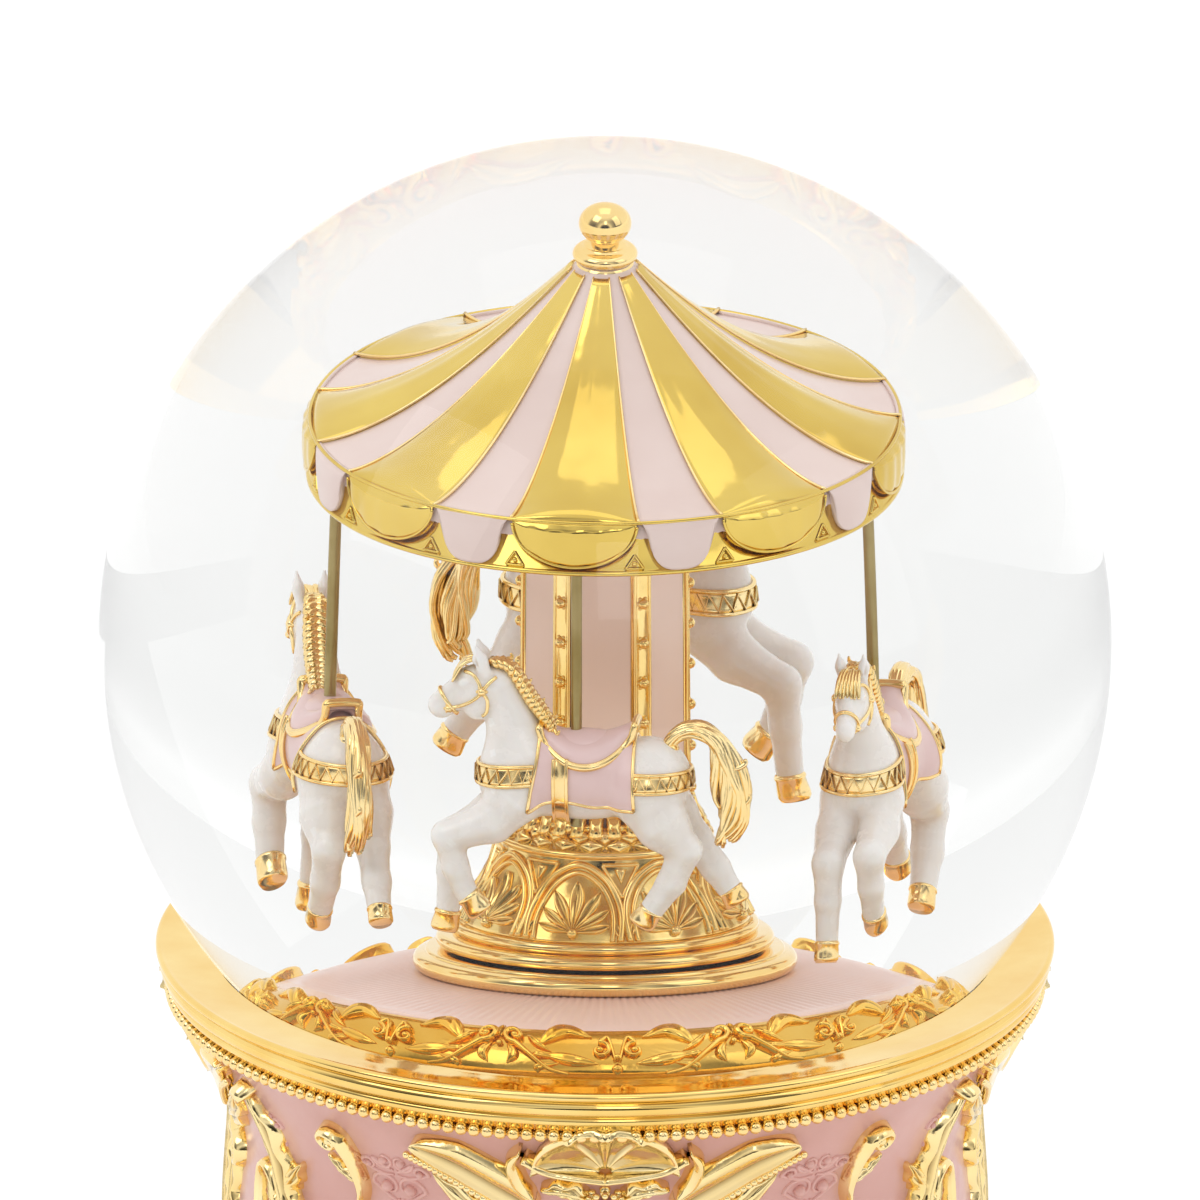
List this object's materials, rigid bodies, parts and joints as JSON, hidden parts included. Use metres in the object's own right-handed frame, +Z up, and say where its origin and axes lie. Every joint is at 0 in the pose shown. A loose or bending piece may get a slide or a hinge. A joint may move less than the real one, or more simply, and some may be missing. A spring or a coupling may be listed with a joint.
{
  "type": "carousel music box",
  "caption": "Music box with a water globe: a gold-trimmed carousel with horses turns inside a glass ball on a waisted round base with a key underneath.",
  "frame": {"origin": "centre of the plane that the box stands on", "axes": "+Z up the carousel's axis, -Y towards the viewer, +X to the viewer's right"},
  "size_m": [0.108, 0.108, 0.15],
  "materials": {
    "pink_body": "satin painted resin, dusty pink",
    "gold_plate": "bright gold electroplate over resin",
    "rubber_pads": "matte rubber",
    "globe_glass": "clear blown glass, filled with water",
    "plug_rubber": "moulded grey rubber",
    "pink_floor": "satin painted resin with fine radial ribs",
    "steel_pin": "bright steel",
    "cover_plastic": "moulded plastic",
    "movement_frame": "die-cast zinc, plain",
    "pale_pink": "pale pink lacquer over resin",
    "column_pink": "rose pink lacquer over resin",
    "pole_brass": "dull antique brass rod",
    "horse_white": "white lacquered resin with gold trim",
    "spindle_plastic": "acetal",
    "magnet_metal": "nickel-plated magnet",
    "jewel": "synthetic ruby",
    "movement_brass": "machined brass"
  },
  "bodies": {
    "base": {"base_housing": "pink_body", "foot_ring": "gold_plate", "foot_pads": "rubber_pads", "bead_ring": "gold_plate", "globe_dish": "gold_plate", "crest_ornaments": "gold_plate", "leaf_sprays": "gold_plate", "glass_globe": "globe_glass", "globe_plug": "plug_rubber", "globe_gasket": "rubber_pads", "inner_floor": "pink_floor", "floor_wreath": "gold_plate", "plinth_ring": "gold_plate", "pivot_pin": "steel_pin", "bottom_cover": "cover_plastic", "cover_screws": "steel_pin", "movement_screws": "steel_pin", "movement_bedplate": "movement_frame", "spring_barrel": "movement_frame", "mainspring": "steel_pin", "comb": "steel_pin", "comb_screws": "steel_pin", "cylinder_bearings": "movement_frame", "governor_frame": "movement_frame"},
    "carousel": {"turntable": "gold_plate", "pedestal_drum": "gold_plate", "pedestal_cap": "gold_plate", "column": "gold_plate", "column_panels": "column_pink", "column_strips": "gold_plate", "canopy_roof": "pale_pink", "canopy_panels": "gold_plate", "canopy_valance": "gold_plate", "canopy_ceiling": "pale_pink", "canopy_finial": "gold_plate", "pole_1": "pole_brass", "pole_2": "pole_brass", "pole_3": "pole_brass", "pole_4": "pole_brass", "horse_1": "horse_white", "horse_2": "horse_white", "horse_3": "horse_white", "horse_4": "horse_white", "spindle": "spindle_plastic", "follower_carrier": "spindle_plastic", "follower_magnets": "magnet_metal", "pivot_jewel": "jewel"},
    "winding_arbor": {"winding_key": "gold_plate", "spring_arbor": "steel_pin", "great_wheel": "movement_brass", "drive_carrier": "spindle_plastic", "drive_magnets": "magnet_metal"},
    "cylinder": {"music_cylinder": "movement_brass", "cylinder_shaft": "steel_pin", "cylinder_gear": "movement_brass"},
    "governor_arbor": {"governor_wheel": "movement_brass"},
    "governor_spindle": {"governor_fan": "steel_pin"}
  },
  "joints": [
    {"name": "carousel_spin", "type": "hinge", "parent": "base", "child": "carousel", "pos_m": [0, 0, 0.075], "axis": [0, 0, 1], "continuous": true},
    {"name": "key_turn", "type": "hinge", "parent": "base", "child": "winding_arbor", "pos_m": [0, 0, 0.015], "axis": [0, 0, 1], "continuous": true},
    {"name": "cylinder_turn", "type": "hinge", "parent": "base", "child": "cylinder", "pos_m": [0.02, 0, 0.03155], "axis": [1, 0, 0], "continuous": true},
    {"name": "governor_arbor_turn", "type": "hinge", "parent": "base", "child": "governor_arbor", "pos_m": [0.022, 0.01091, 0.02863], "axis": [1, 0, 0], "continuous": true},
    {"name": "governor_fan_turn", "type": "hinge", "parent": "base", "child": "governor_spindle", "pos_m": [0.022, 0.01571, 0.03], "axis": [0, 0, 1], "continuous": true}
  ],
  "couplings": [
    {"joint": "key_turn", "follows": "carousel_spin", "ratio": 1},
    {"joint": "cylinder_turn", "follows": "carousel_spin", "ratio": 3},
    {"joint": "governor_arbor_turn", "follows": "carousel_spin", "ratio": -9},
    {"joint": "governor_fan_turn", "follows": "carousel_spin", "ratio": 126}
  ]
}
